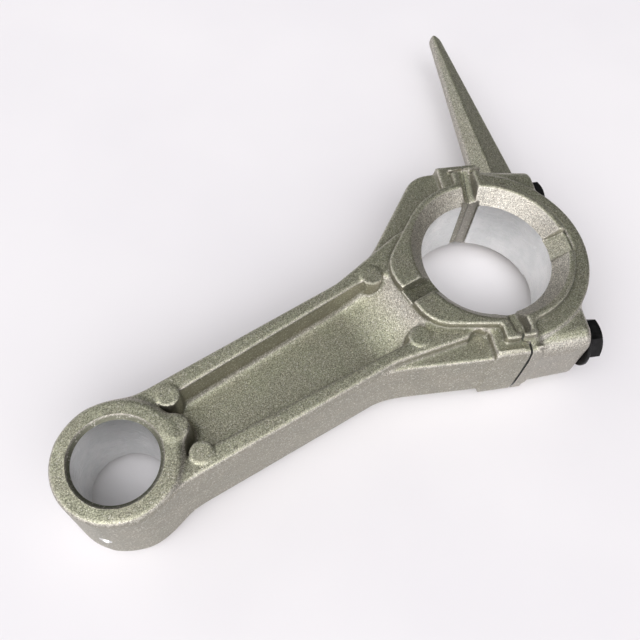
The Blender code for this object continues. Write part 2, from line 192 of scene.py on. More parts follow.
def mesh_object(name, verts, faces):
    """An object from numpy vertices in millimetres and quads."""
    mesh = bpy.data.meshes.new(name)
    mesh.vertices.add(len(verts))
    mesh.vertices.foreach_set("co", np.asarray(verts, np.float32).ravel())
    mesh.loops.add(faces.size)
    mesh.loops.foreach_set("vertex_index", faces.ravel().astype(np.int32))
    mesh.polygons.add(len(faces))
    mesh.polygons.foreach_set("loop_start", np.arange(0, faces.size, 4, dtype=np.int32))
    mesh.update(calc_edges=True)
    mesh.validate()
    shape = bpy.data.objects.new(name, mesh)
    bpy.context.scene.collection.objects.link(shape)
    return shape


def casting(name, field, low):
    """A casting's mesh from the upper half of its distances, with the whole grid and its corner."""
    whole = mirrored(field)
    corner = (low[0], low[1], GRID / 2 - GRID * field.shape[2])
    verts, faces = surface_net(whole, corner)
    return mesh_object(name, verts, faces), whole, corner


# ---------------------------------------------------------------- the rod

# Half of the beam's outline, from the big end to the eye: x, y, corner radius
BEAM = [(0.0, 18.4, 0), (-18.0, 18.4, 0), (-34.0, 15.0, 12), (-41.0, 13.6, 20), (-98.5, 12.6, 40),
        (-111.5, 14.6, 6), (-119.0, 10.0, 0)]

# Round pads at the recess's corners, the same on both sides: x, y, radius
PADS = [(-92.7, 8.3, 2.85), (-31.7, 10.7, 3.0)]

# The joint's flange on each side of the bore: side, outer edge along v, rim's rounding
FLANGES = [(1, 31.8, 0.9), (-1, 31.25, 1.2)]


def in_rod(u, v):
    """A point of the cap's frame in the rod's frame."""
    return u * COS - v * SIN, u * SIN + v * COS


def cap_frame(x, y):
    """The cap's coordinates of places in the rod's frame."""
    return x * COS + y * SIN, y * COS - x * SIN


def beam_plan(x, y):
    """The beam's outer edge."""
    lower = [(px, -py, radius) for px, py, radius in reversed(BEAM)]
    return outline_distance(rounded(BEAM + lower), x, y)


def shoulder_plan(x, y):
    """The lower step that carries the bolts, each side parallel to them."""
    joint, width, corner = 6.0, 31.0, -13.6
    upper = [(*in_rod(joint, width), 0), (*in_rod(corner, width), 9.0), (-32.6, 13.6, 40), (-80, 12.3, 0)]
    lower = [(-80, -12.3, 0), (-44.0, -13.6, 40), (*in_rod(joint, -width), 0)]
    return outline_distance(rounded(upper + lower), x, y)


def boss_plan(x, y):
    """The thrust boss: a ring that leaves by its tangents for a square front at the beam."""
    front, corner, leave = 27.9, 9.5, 121.5
    start_x, start_y = arc((0, 0), BOSS_RADIUS, leave, leave, 1)[0]
    height = start_y - (start_x + front) * math.tan(math.radians(leave - 90))
    corners = [(-front, height, corner), (-front, -height, corner)]
    ring = [(px, py, 0) for px, py in arc((0, 0), BOSS_RADIUS, -leave, leave, 90)]
    return outline_distance(rounded(corners + ring, 16), x, y)


def pocket(x, y, z):
    """The web's recess: flat floor, then a bend into a ramp up to the boss."""
    eye = [(px, py, 0) for px, py in arc((-CENTRES, 0), 16.0, -26.6, 26.6, 12)]
    end = [(-36.0, 9.9, 2), (-27.5, 8.6, 0), (-27.5, -8.6, 0), (-36.0, -9.9, 2)]
    plan = outline_distance(rounded(eye + end), x[:, :, 0], y[:, :, 0])[:, :, None]
    start, bend, steepest, draft = -44.0, 22.0, math.sin(math.radians(45)), 0.07
    sine = np.clip((x - start) / bend, 0, steepest)
    cosine = np.sqrt(1 - sine ** 2)
    ramp = np.maximum(x - start - bend * steepest, 0)
    floor = (WEB_HALF + bend * (1 - cosine) + ramp - z) * cosine
    walls = (plan - draft * (z - WEB_HALF)) * math.cos(math.atan(draft))
    return common(walls, floor, 2.2)


def relief(u, v, z, side):
    """Shallow V-shaped trough over the parting line, falling towards the bore."""
    away = v * side
    end, corner, lean = (29.4, 0.4, 0.0) if side > 0 else (26.2, 2.2, 0.12)
    middle = u - lean * np.maximum(away - CRANK_RADIUS - 0.5, 0)
    flare = 0.25 * (z - 10.6)
    sides = np.maximum(middle - 2.15 - flare, -1.25 - middle - flare)
    plan = common(sides, np.maximum(15.0 - away, away - end), corner)
    floor = 10.0 + 0.12 * (away - BOLT_OFFSET) + 0.28 * np.abs(middle - 0.4)
    return np.maximum(plan, floor - z)


def land(u, v, low, high, end):
    """Plan of the boss's lands beside that trough, on both sides of the bore."""
    corner = 0.8
    return box_distance(u, np.abs(v), (low + corner, 15.0), (high - corner, end - corner)) - corner


def bore_band(x, y, z):
    """The crank bore's as-cast mouth: a cone over a straight pilot."""
    width, depth, stock = 3.6, 4.35, 0.8
    slope = width / depth
    radius = np.maximum(CRANK_RADIUS + (z - BOSS_HALF + depth) * slope, CRANK_RADIUS - stock)
    return (np.hypot(x, y) - radius) * math.cos(math.atan(slope))


def bore_groove(u, v, side):
    """As-cast groove down the bore at the parting line."""
    return box_distance(u, v * side, (-2.0, 12.0), (3.0, CRANK_RADIUS + 0.6))


def oil_slot(x, y, z, half_width, foot, slope):
    """Radial slot towards +X: its floor rises evenly from the bore's edge."""
    depth = (foot + slope * (x - CRANK_RADIUS) - z) / math.hypot(1, slope)
    return np.maximum(np.maximum(np.abs(y) - half_width, depth), 2.0 - x)


def joint_bar(u, v, z, span, offset, half_width=0.36, top=11.6):
    """Small cast bar along the bolts' direction, just proud of the joint's flange."""
    plan = box_distance(u, v, (span[0], offset - half_width), (span[1], offset + half_width))
    return slab(plan, z, top, 0.9 * half_width)


def joint_flange(u, v, z, low, high, side, edge, rim):
    """The flange beside the joint from u = low to high, with a little draft."""
    plan = box_distance(u, v * side, (low, CRANK_RADIUS), (high, edge)) + 0.02 * z
    return slab(plan, z, JOINT_HALF, rim)


def without_joint_cuts(body, u, v, z):
    """A casting less the grooves down the bore and the troughs over the joint."""
    for side in (1, -1):
        body = take(body, bore_groove(u, v, side), 0.15)
        body = take(body, relief(u, v, z, side), 0.3)
    return body


def rod_field(x, y, z):
    """Signed distance of the rod's casting, before it is machined."""
    x2, y2 = x[:, :, 0], y[:, :, 0]
    u, v = cap_frame(x, y)

    # Beam and shoulder, each with draft, the recess and its pads
    body = slab(beam_plan(x2, y2)[:, :, None] + 0.02 * (z - FLANGE_HALF), z, FLANGE_HALF, 0.9)
    shoulder = shoulder_plan(x2, y2)[:, :, None] + 0.03 * (z - SHOULDER_HALF)
    body = join(body, slab(shoulder, z, SHOULDER_HALF, 0.8), 1.2)
    body = take(body, pocket(x, y, z), 0.9)
    for px, py, radius in PADS:
        for side in (1, -1):
            plan = disc(x, y, (px, side * py), radius) + 0.05 * (z - PAD_HALF)
            body = join(body, slab(plan, z, PAD_HALF, RIM), RIM)

    # Big end, then the eye with its tab
    for side, edge, rim in FLANGES:
        body = join(body, joint_flange(u, v, z, -7.0, 8.0, side, edge, rim), 1.1)
    boss = join(boss_plan(x2, y2), land(u[:, :, 0], v[:, :, 0], -3.7, 0.5, 27.5), 1.0)
    body = join(body, slab(boss[:, :, None], z, BOSS_HALF, RIM), 0.5)
    eye = slab(disc(x, y, (-CENTRES, 0), EYE_RADIUS), z, EYE_HALF, 0.95)
    tab = slab(disc(x, y, (-94.8, 0), 3.3), z, EYE_HALF, 0.8)
    body = join(body, join(eye, tab, 1.6), 2.6)

    # Bars on the joint's flanges, the shelf's round end, and what is cast into the bore
    body = join(body, joint_bar(u, v, z, (-3.8, 0.8), 29.3, 0.5, 12.2), 0.2)
    body = join(body, joint_bar(u, v, z, (-6.0, 1.2), -29.55), 0.25)
    shelf_end = np.maximum(disc(x, y, (-19.0, -19.4), 2.7), SHOULDER_HALF - z)
    body = take(body, shelf_end, 0.2)
    body = take(body, bore_band(x, y, z), RIM)
    body = take(body, oil_slot(-x, y, z, 2.4, 9.2, 0.26), 0.3)
    return np.maximum(without_joint_cuts(body, u, v, z), u - 5.0)


# ---------------------------------------------------------------- the cap

# The bolt lug on each side: its end's rounding, and how much it narrows per mm of u
LUGS = {1: (0.9, 0.14), -1: (2.2, 0.055)}


def dipper_field(u, v, z):
    """The cast-on oil splasher: a tapering ridged blade, round at its tip."""
    root, tip, tip_round = 27.0, 99.0, 3.0
    t = np.clip((v - root) / (tip - root), -0.3, 1)
    half_width = 7.2 - 5.2 * t
    centre = 14.5 - 2.3 * t
    ridge = 4.6 - 2.7 * t
    rim = 1.5 - 0.7 * t
    crest = centre - 0.22 * half_width
    span = half_width + np.where(u < crest, crest - centre, centre - crest)
    fall = (ridge - rim) / span
    faces = (z - ridge + fall * np.abs(u - crest)) / np.sqrt(1 + fall ** 2)
    past = np.maximum(v - tip + tip_round, 0)
    sides = np.hypot(np.abs(u - centre), past * half_width / tip_round) - half_width
    return common(common(faces, sides, 0.9), 10.0 - v, 0.5)


def bolt_lug(u, v, z, side, edge):
    """The lug round one bolt: a bar along u with well rounded edges, up to the bolt's seat."""
    end_rim, taper = LUGS[side]
    inner_edge, edge_round = 14.0, 5.0
    across = v * side + taper * u
    low = (inner_edge, -20.0)
    section = box_distance(across, z, low, (edge, LUG_HALF))
    core = box_distance(across, z, low, (edge - edge_round, LUG_HALF - edge_round)) - edge_round
    return slab(np.maximum(section, core), u, BOLT_SEAT, end_rim)


def cap_field(u, v, z):
    """Signed distance of the cap's casting, in the cap's frame, before machining."""
    # Ring, lugs and dipper
    ring = disc(u, v, (0, 0), 27.75)
    flare = box_distance(u, v, (-9.0, -27.3), (3.2, 27.3))
    body = slab(join(ring, flare, 3.0), z, CAP_RING_HALF, 0.8)
    for side, edge, rim in FLANGES:
        body = join(body, bolt_lug(u, v, z, side, edge), 1.2)
        body = join(body, joint_flange(u, v, z, -8.0, 5.8, side, edge, rim), 1.6)
    body = join(body, dipper_field(u, v, z), 2.4)

    # Thrust boss with a fine groove round its foot
    boss = join(disc(u, v, (0, 0), BOSS_RADIUS), land(u, v, 0.5, 4.9, 27.2), 2.6)
    body = join(body, slab(boss, z, BOSS_HALF, RIM), 0.4)
    groove_floor = 11.0 + 0.06 * np.maximum(4.0 - v, 0)
    groove = np.maximum(np.abs(boss - 0.4) - 0.3, groove_floor - z)
    body = take(body, groove, 0.12)

    # Bars on the joint's flanges, and what is cast into the bore
    body = join(body, joint_bar(u, v, z, (1.15, 6.0), 29.4, 0.5, 12.2), 0.2)
    body = join(body, joint_bar(u, v, z, (3.8, 6.2), -29.6), 0.25)
    body = take(body, bore_band(u, v, z), RIM)
    body = take(body, oil_slot(u, v, z, 3.6, 8.75, 0.6), 0.3)
    return np.maximum(without_joint_cuts(body, u, v, z), -5.0 - u)


# ---------------------------------------------------------------- machining

ALONG_U = Matrix.Rotation(math.pi / 2, 4, "Y")
TO_ROD = Matrix.Rotation(CAP_ANGLE, 4, "Z")

# How far a cutter reaches past the part
CLEAR = 40.0

# The parting line in the cap's frame, from +v to -v: stepped, with a wider gap past WIDE_FROM
PARTING = [(1.0, 60.0), (1.0, 30.0), (0.0, 17.5), (0.0, -18.5), (1.0, -27.6), (2.5, -28.2), (2.5, -60.0)]
PARTING_GAP = 0.07
WIDE_FROM, WIDER = -28.0, 4.0


def turned(profile, steps):
    """An open profile of (radius, height), its ends on the axis, spun about Z."""
    bm = bmesh.new()
    verts = [bm.verts.new((radius, 0, height)) for radius, height in profile]
    edges = [bm.edges.new(pair) for pair in zip(verts, verts[1:])]
    bmesh.ops.spin(bm, geom=verts + edges, cent=(0, 0, 0), axis=(0, 0, 1),
                   angle=math.tau, steps=steps, use_merge=True)
    bmesh.ops.remove_doubles(bm, verts=bm.verts, dist=1e-4)
    return finished(bm)


def cylinder(radius, low, high, steps):
    """A plain round cutter about Z."""
    return turned([(0, low), (radius, low), (radius, high), (0, high)], steps)


def prism(outline, low, high):
    """An outline in X and Y drawn out from Z = low to high."""
    bm = bmesh.new()
    base = bm.faces.new([bm.verts.new((x, y, low)) for x, y in outline])
    drawn = bmesh.ops.extrude_face_region(bm, geom=[base])["geom"]
    top = [v for v in drawn if isinstance(v, bmesh.types.BMVert)]
    bmesh.ops.translate(bm, vec=(0, 0, high - low), verts=top)
    return finished(bm)


def threaded(radius, depth, low, high):
    """A right-hand threaded rod along +X, tapered in at its low end, closed at both."""
    around, per_pitch, lead_in = 40, 10, 1.2
    rows = int((high - low) / PITCH * per_pitch)
    heights = np.linspace(low, high, rows + 1)
    angles = np.arange(around) * math.tau / around
    phase = heights[:, None] / PITCH - angles[None, :] / math.tau
    ridge = np.clip(np.abs((phase % 1.0) - 0.5) * 2.6 - 0.12, 0, 1)
    taper = np.clip((heights - low) / lead_in, 0, 1)[:, None]
    reach = np.minimum(radius - depth * (1 - ridge), radius - depth * 1.1 * (1 - taper))
    verts = np.stack([np.broadcast_to(heights[:, None], reach.shape), reach * np.cos(angles),
                      reach * np.sin(angles)], -1).reshape(-1, 3)
    bm = bmesh.new()
    points = [bm.verts.new(p) for p in verts]
    first, last = bm.verts.new((low, 0, 0)), bm.verts.new((high, 0, 0))
    for row in range(0, rows * around, around):
        for j in range(around):
            k = (j + 1) % around
            above = row + around
            bm.faces.new((points[row + j], points[row + k], points[above + k], points[above + j]))
    top = rows * around
    for j in range(around):
        k = (j + 1) % around
        bm.faces.new((first, points[k], points[j]))
        bm.faces.new((last, points[top + j], points[top + k]))
    return finished(bm)


def finished(bm):
    """Turn a bmesh into a scratch object."""
    bmesh.ops.recalc_face_normals(bm, faces=bm.faces)
    mesh = bpy.data.meshes.new("tool")
    bm.to_mesh(mesh)
    bm.free()
    tool = bpy.data.objects.new("tool", mesh)
    bpy.context.scene.collection.objects.link(tool)
    return tool


def moved(shape, *steps):
    """Transform a shape's mesh by several matrices, the first one first."""
    for step in steps:
        shape.data.transform(step)
    return shape


def combine(body, tool, operation="DIFFERENCE"):
    """Apply one Boolean to body and throw the tool away."""
    modifier = body.modifiers.new("combine", "BOOLEAN")
    modifier.operation = operation
    modifier.solver = "MANIFOLD"
    modifier.object = tool
    bpy.context.view_layer.update()
    evaluated = body.evaluated_get(bpy.context.evaluated_depsgraph_get())
    result = bpy.data.meshes.new_from_object(evaluated)
    body.modifiers.clear()
    body.data = result
    bpy.data.objects.remove(tool)


def beyond_parting(side):
    """Everything past the parting line towards +u (side 1) or -u (side -1), with its gap."""
    line = [(u - side * PARTING_GAP * (WIDER if v < WIDE_FROM else 1), v) for u, v in PARTING]
    far, end = side * 2 * CLEAR, PARTING[0][1]
    return prism(line + [(far, -end), (far, end)], -CLEAR, CLEAR)


def machine_rod(rod):
    """Bores, parting face, tapped holes and the oil hole."""
    combine(rod, cylinder(CRANK_RADIUS, -CLEAR, CLEAR, 220))
    over = 6.0
    edge, end, mouth = EYE_HALF - PIN_CHAMFER, EYE_HALF + over, PIN_RADIUS + PIN_CHAMFER + over
    pin = turned([(0, -end), (mouth, -end), (PIN_RADIUS, -edge),
                  (PIN_RADIUS, edge), (mouth, end), (0, end)], 160)
    combine(rod, moved(pin, Matrix.Translation((-CENTRES, 0, 0))))
    combine(rod, moved(beyond_parting(1), TO_ROD))
    for side in (1, -1):
        hole = threaded(4.05, 0.62, -13.8, 6.0)
        combine(rod, moved(hole, Matrix.Translation((0, side * BOLT_OFFSET, 0)), TO_ROD))
    hole = turned([(0, 7), (0.9, 7), (0.9, 13.6), (3.4, 17.6), (0, 17.6)], 40)
    turn = Matrix.Rotation(OIL_HOLE_ANGLE, 4, "Z")
    combine(rod, moved(hole, ALONG_U, turn, Matrix.Translation((-CENTRES, 0, OIL_HOLE_HEIGHT))))


def machine_cap(cap):
    """Bore, parting face, bolt holes and spot faces, in the cap's frame."""
    combine(cap, cylinder(CRANK_RADIUS, -CLEAR, CLEAR, 220))
    combine(cap, beyond_parting(-1))
    for side in (1, -1):
        place = Matrix.Translation((0, side * BOLT_OFFSET, 0))
        combine(cap, moved(cylinder(4.3, -5, CLEAR, 64), ALONG_U, place))
        combine(cap, moved(cylinder(7.8, BOLT_SEAT, CLEAR, 96), ALONG_U, place))


# ---------------------------------------------------------------- bolts

def cap_bolt(turn):
    """Flanged hexagon bolt along +X with its joint face at X = 0."""
    across_flats, shank_radius, flange_radius = 10.0, 3.7, 7.1
    seat = BOLT_SEAT + 0.02
    top = seat + 5.4
    head = prism(arc((0, 0), across_flats / 2 / math.cos(math.pi / 6), 0, 300, 5), seat + 0.3, top)
    crown = turned([(0, seat), (12, seat), (12, top - 3.9), (4.9, top), (4.5, top), (3.6, top - 0.25),
                    (0, top - 0.35)], 96)
    combine(head, crown, "INTERSECT")
    flange = turned([(0, seat), (flange_radius - 0.2, seat), (flange_radius, seat + 0.2),
                     (flange_radius, seat + 0.75), (flange_radius - 0.2, seat + 0.95),
                     (across_flats / 2, seat + 1.6), (0, seat + 1.6)], 96)
    combine(head, flange, "UNION")
    moved(head, ALONG_U, Matrix.Rotation(math.radians(turn), 4, "X"))
    shank = turned([(0, 1.6), (shank_radius - 0.15, 1.6), (shank_radius, 2.2),
                    (shank_radius, seat + 0.5), (0, seat + 0.5)], 64)
    combine(head, moved(shank, ALONG_U), "UNION")
    combine(head, threaded(3.9, 0.6, -12.6, 2.0), "UNION")
    return head


# ---------------------------------------------------------------- materials

class Nodes:
    """Short way to wire a material's nodes."""

    def __init__(self, material):
        material.use_nodes = True
        self.tree = material.node_tree
        self.shader = self.tree.nodes["Principled BSDF"]
        place = self.tree.nodes.new("ShaderNodeTexCoord")
        self.place = self.scaled(place.outputs["Object"], (1 / MM,) * 3)

    def new(self, kind, **settings):
        """A node of one kind, with some of its settings."""
        node = self.tree.nodes.new(kind)
        for key, value in settings.items():
            setattr(node, key, value)
        return node

    def link(self, source, socket):
        """Wire an output to an input."""
        self.tree.links.new(source, socket)

    def scaled(self, vector, factors):
        """A vector multiplied by a factor along each axis."""
        node = self.new("ShaderNodeVectorMath", operation="MULTIPLY")
        self.link(vector, node.inputs[0])
        node.inputs[1].default_value = factors
        return node.outputs[0]

    def noise(self, scale, detail=2.0, roughness=0.5, vector=None):
        """Soft noise, its scale in cycles per millimetre."""
        node = self.new("ShaderNodeTexNoise")
        self.link(vector or self.place, node.inputs["Vector"])
        node.inputs["Scale"].default_value = scale
        node.inputs["Detail"].default_value = detail
        node.inputs["Roughness"].default_value = roughness
        return node.outputs["Fac"]

    def flecks(self, scale):
        """Three random values for each small cell, its scale in cells per millimetre."""
        cells = self.new("ShaderNodeTexVoronoi")
        self.link(self.place, cells.inputs["Vector"])
        cells.inputs["Scale"].default_value = scale
        split = self.new("ShaderNodeSeparateColor")
        self.link(cells.outputs["Color"], split.inputs["Color"])
        return [split.outputs[key] for key in ("Red", "Green", "Blue")]

    def attribute(self, name):
        """A value stored on the mesh."""
        return self.new("ShaderNodeAttribute", attribute_name=name).outputs["Fac"]

    def ramp(self, value, low, high, out_low=0.0, out_high=1.0, smooth=True):
        """A value carried from the range low to high over to out_low to out_high."""
        node = self.new("ShaderNodeMapRange")
        node.interpolation_type = "SMOOTHSTEP" if smooth else "LINEAR"
        self.link(value, node.inputs["Value"])
        ends = {"From Min": low, "From Max": high, "To Min": out_low, "To Max": out_high}
        for key, number in ends.items():
            node.inputs[key].default_value = number
        return node.outputs["Result"]

    def math(self, operation, a, b=0.0):
        """One operation on two outputs or numbers."""
        node = self.new("ShaderNodeMath", operation=operation)
        for socket, value in zip(node.inputs, (a, b)):
            if isinstance(value, (int, float)):
                socket.default_value = value
            else:
                self.link(value, socket)
        return node.outputs[0]

    def mix(self, amount, a, b, kind="MIX"):
        """Colour a mixed with colour b by an amount."""
        node = self.new("ShaderNodeMix", data_type="RGBA", blend_type=kind)
        for socket, value in ((node.inputs[0], amount), (node.inputs[6], a), (node.inputs[7], b)):
            if isinstance(value, (int, float)):
                socket.default_value = value
            elif isinstance(value, tuple):
                socket.default_value = (*value, 1.0)
            else:
                self.link(value, socket)
        return node.outputs[2]

    def bump(self, height, strength, distance, normal=None):
        """A bumped normal, on top of another one if given."""
        node = self.new("ShaderNodeBump")
        node.inputs["Strength"].default_value = strength
        node.inputs["Distance"].default_value = distance
        self.link(height, node.inputs["Height"])
        if normal:
            self.link(normal, node.inputs["Normal"])
        return node.outputs["Normal"]


def cast_aluminium(name, tint=(0.41, 0.415, 0.305), slope=(0.43, 0.41, 0.36), drawn=(0.31, 0.30, 0.25)):
    """Shot-blasted die casting with painted light: tint on level faces, slope on slanted ones, drawn on
    walls, each the shade that faces turned that way get from the room's light.
    """
    material = bpy.data.materials.new(name)
    n = Nodes(material)
    solid = n.attribute("solid")
    grain = n.noise(3.6, 2.0, 0.6)
    fleck, sparkle, pit = n.flecks(3.6)
    facing = n.new("ShaderNodeSeparateXYZ")
    n.link(n.new("ShaderNodeTexCoord").outputs["Normal"], facing.inputs[0])
    level = n.math("ABSOLUTE", facing.outputs["Z"])
    wall = n.ramp(level, 0.62, 0.30)

    # Painted light: level, slanted and wall faces each take the shade their facing gets, with faint brown
    # clouds
    colour = n.mix(n.ramp(level, 0.94, 0.74), tint, slope)
    colour = n.mix(wall, colour, drawn)
    cloud = n.noise(0.16, 3.0, 0.55)
    colour = n.mix(n.ramp(cloud, 0.3, 0.7, 0.0, 0.30), colour, (0.42, 0.385, 0.32))

    # Blasted grain and flecks, weaker on the walls
    grained = n.mix(1.0, colour, n.ramp(grain, 0.34, 0.66, 0.66, 1.40), "MULTIPLY")
    colour = n.mix(n.ramp(wall, 0.0, 1.0, 1.0, 0.5), colour, grained)
    flecked = n.mix(1.0, colour, n.ramp(fleck, 0.0, 1.0, 0.72, 1.28, False), "MULTIPLY")
    colour = n.mix(n.ramp(wall, 0.0, 1.0, 1.0, 0.35), colour, flecked)

    # Painted shade in hollows, a few painted glints, and rims lightened partly as edge wear and partly as
    # a painted highlight
    painted_hollow_shade = n.math("MULTIPLY", n.ramp(solid, 0.51, 0.72), n.ramp(wall, 0.0, 1.0, 0.9, 0.3))
    colour = n.mix(painted_hollow_shade, colour, tuple(c * 0.42 for c in tint))
    # Painted glints: a few cells lightened as if they caught the light
    painted_glint = n.math("MULTIPLY", n.ramp(sparkle, 0.90, 0.97), 0.45)
    colour = n.mix(painted_glint, colour, (0.90, 0.88, 0.80))
    # Rims lightened: partly edge wear, partly a painted highlight on convex edges
    wear_and_rim_highlight = n.ramp(n.noise(0.9, 3.0, 0.6), 0.38, 0.66, 0.06, 0.36)
    colour = n.mix(n.math("MULTIPLY", n.ramp(solid, 0.46, 0.30), wear_and_rim_highlight), colour, (0.78, 0.75, 0.67))

    n.link(colour, n.shader.inputs["Base Color"])
    n.link(n.ramp(grain, 0.3, 0.7, 0.38, 0.52, False), n.shader.inputs["Roughness"])
    n.shader.inputs["Metallic"].default_value = 0.92
    strength = n.ramp(wall, 0.0, 1.0, 1.0, 0.45)
    normal = n.bump(n.math("MULTIPLY", grain, strength), 0.55, 0.22 * MM)
    normal = n.bump(n.math("MULTIPLY", pit, strength), 0.25, 0.10 * MM, normal)
    n.link(normal, n.shader.inputs["Normal"])
    return material


def machined_aluminium(name):
    """Finish-bored aluminium: bright, with fine turning marks round the bore."""
    material = bpy.data.materials.new(name)
    n = Nodes(material)
    stretched = n.scaled(n.place, (0.5, 0.5, 9.0))
    lines = n.noise(1.0, 3.0, 0.6, stretched)
    cloud = n.noise(0.2, 2.0, 0.5)
    colour = n.mix(n.ramp(cloud, 0.35, 0.65), (0.72, 0.735, 0.725), (0.79, 0.795, 0.785))
    n.link(colour, n.shader.inputs["Base Color"])
    n.link(n.ramp(lines, 0.3, 0.7, 0.24, 0.36, False), n.shader.inputs["Roughness"])
    n.shader.inputs["Metallic"].default_value = 1.0
    n.link(n.bump(lines, 0.12, 0.05 * MM), n.shader.inputs["Normal"])
    return material


def black_oxide(name):
    """Black oxide on steel, slightly mottled."""
    material = bpy.data.materials.new(name)
    n = Nodes(material)
    mottle = n.noise(0.8, 3.0, 0.6)
    colour = n.mix(n.ramp(mottle, 0.35, 0.7), (0.006, 0.006, 0.006), (0.016, 0.016, 0.016))
    n.link(colour, n.shader.inputs["Base Color"])
    n.link(n.ramp(mottle, 0.3, 0.7, 0.34, 0.5, False), n.shader.inputs["Roughness"])
    n.shader.inputs["Metallic"].default_value = 0.4
    n.shader.inputs["Specular IOR Level"].default_value = 0.3
    n.link(n.bump(n.noise(3.0), 0.15, 0.1 * MM), n.shader.inputs["Normal"])
    return material


def pale_floor(name):
    """Plain pale sheet with a faint uneven tint."""
    material = bpy.data.materials.new(name)
    n = Nodes(material)
    cloud = n.noise(0.012, 3.0, 0.5)
    colour = n.mix(n.ramp(cloud, 0.3, 0.7), (0.83, 0.815, 0.835), (0.865, 0.85, 0.865))
    n.link(colour, n.shader.inputs["Base Color"])
    n.shader.inputs["Roughness"].default_value = 0.6
    return material


def solidity(whole):
    """How much of a small box round each grid point is solid, 0 to 1."""
    filled = np.clip(0.5 - whole / GRID, 0, 1)
    reach = 3
    width = 2 * reach + 1
    for axis in range(3):
        margins = [(reach + 1, reach) if i == axis else (0, 0) for i in range(3)]
        total = np.cumsum(np.pad(filled, margins), axis=axis, dtype=np.float64)
        ahead = tuple(slice(width, None) if i == axis else slice(None) for i in range(3))
        back = tuple(slice(0, -width) if i == axis else slice(None) for i in range(3))
        filled = ((total[ahead] - total[back]) / width).astype(np.float32)
    return filled


def sample(values, low, points):
    """Trilinear samples of a grid at points in millimetres."""
    at = (points - np.asarray(low)) / GRID
    at = np.clip(at, 0, np.array(values.shape) - 1.001)
    base = np.floor(at).astype(int)
    part = at - base
    result = np.zeros(len(points))
    for corner in np.ndindex(2, 2, 2):
        weight = np.prod(np.where(corner, part, 1 - part), axis=1)
        index = base + corner
        result += weight * values[index[:, 0], index[:, 1], index[:, 2]]
    return result


def mark_solid(shape, whole, low):
    """Store each vertex's solidity for the cast material, which paints shade into hollows and lightens
    rims with it.
    """
    mesh = shape.data
    co = np.zeros(len(mesh.vertices) * 3)
    mesh.vertices.foreach_get("co", co)
    values = sample(solidity(whole), low, co.reshape(-1, 3))
    layer = mesh.attributes.new("solid", "FLOAT", "POINT")
    layer.data.foreach_set("value", values.astype(np.float32))


def mark_machined(shape, test):
    """Put the faces that pass a test on the second material, the machined one."""
    mesh = shape.data
    centres = np.zeros(len(mesh.polygons) * 3)
    mesh.polygons.foreach_get("center", centres)
    normals = np.zeros(len(mesh.polygons) * 3)
    mesh.polygons.foreach_get("normal", normals)
    slots = test(centres.reshape(-1, 3), normals.reshape(-1, 3)).astype(np.int32)
    mesh.polygons.foreach_set("material_index", slots)


def in_bore(centres, normals, middle, radius):
    """Faces on a bore's wall: at its radius and facing its axis."""
    out = centres[:, :2] - np.array(middle)
    away = np.linalg.norm(out, axis=1)
    facing = (out * normals[:, :2]).sum(1) / np.maximum(away, 1e-6)
    return (np.abs(away - radius) < 0.05) & (facing < -0.9)


def rod_machined(c, n):
    """Which of the rod's faces are machined, from their centres and normals."""
    wall = in_bore(c, n, (0, 0), CRANK_RADIUS) | in_bore(c, n, (-CENTRES, 0), PIN_RADIUS)
    u, v = cap_frame(c[:, 0], c[:, 1])
    normal_u = cap_frame(n[:, 0], n[:, 1])[0]
    parting = (normal_u > 0.99) & (u > -0.5)
    bolts = (u > -14.2) & (np.hypot(np.abs(v) - BOLT_OFFSET, c[:, 2]) < 4.2)
    from_eye, cosine, sine = c[:, 0] + CENTRES, math.cos(OIL_HOLE_ANGLE), math.sin(OIL_HOLE_ANGLE)
    along = from_eye * cosine + c[:, 1] * sine
    across = c[:, 1] * cosine - from_eye * sine
    hole = (along > PIN_RADIUS) & (np.hypot(across, c[:, 2] - OIL_HOLE_HEIGHT) < 1.6)
    return wall | parting | bolts | hole


def cap_machined(c, n):
    """Which of the cap's faces are machined, from their centres and normals."""
    u, v = c[:, 0], c[:, 1]
    wall = in_bore(c, n, (0, 0), CRANK_RADIUS)
    parting = (n[:, 0] < -0.99) & (u < 3.2)
    bolts = np.hypot(np.abs(v) - BOLT_OFFSET, c[:, 2]) < 4.4
    seat = (n[:, 0] > 0.99) & (np.abs(u - BOLT_SEAT) < 0.05)
    return wall | parting | bolts | seat


def dress(shape, name, materials, smooth_angle=32):
    """Name a finished piece, shade it and give it its materials."""
    shape.name = name
    shape.data.name = name
    shape.data.materials.clear()
    for material in materials:
        shape.data.materials.append(material)
    shape.data.shade_smooth()
    shape.data.set_sharp_from_angle(angle=math.radians(smooth_angle))


def stand(shape, centre, turn=0.0, offset=(0, 0, 0)):
    """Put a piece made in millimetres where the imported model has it."""
    place = Matrix.Translation(centre) @ Matrix.Rotation(turn, 4, "Z")
    shape.data.transform(place @ Matrix.Scale(MM, 4) @ Matrix.Translation(offset))


# ---------------------------------------------------------------- pieces

def make_rod(centre):
    """The rod: cast shape, machining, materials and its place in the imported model."""
    low, high = (-126.5, -37.0), (20.0, 36.0, 15.0)
    rod, whole, corner = casting("rod_casting", rod_field(*grid(low, high)), low)
    machine_rod(rod)
    mark_solid(rod, whole, corner)
    dress(rod, "rod_casting", [cast_aluminium("rod_cast"), machined_aluminium("rod_machined")])
    mark_machined(rod, rod_machined)
    stand(rod, centre)
    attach(rod, "rod")
    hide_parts("connecting_rod")


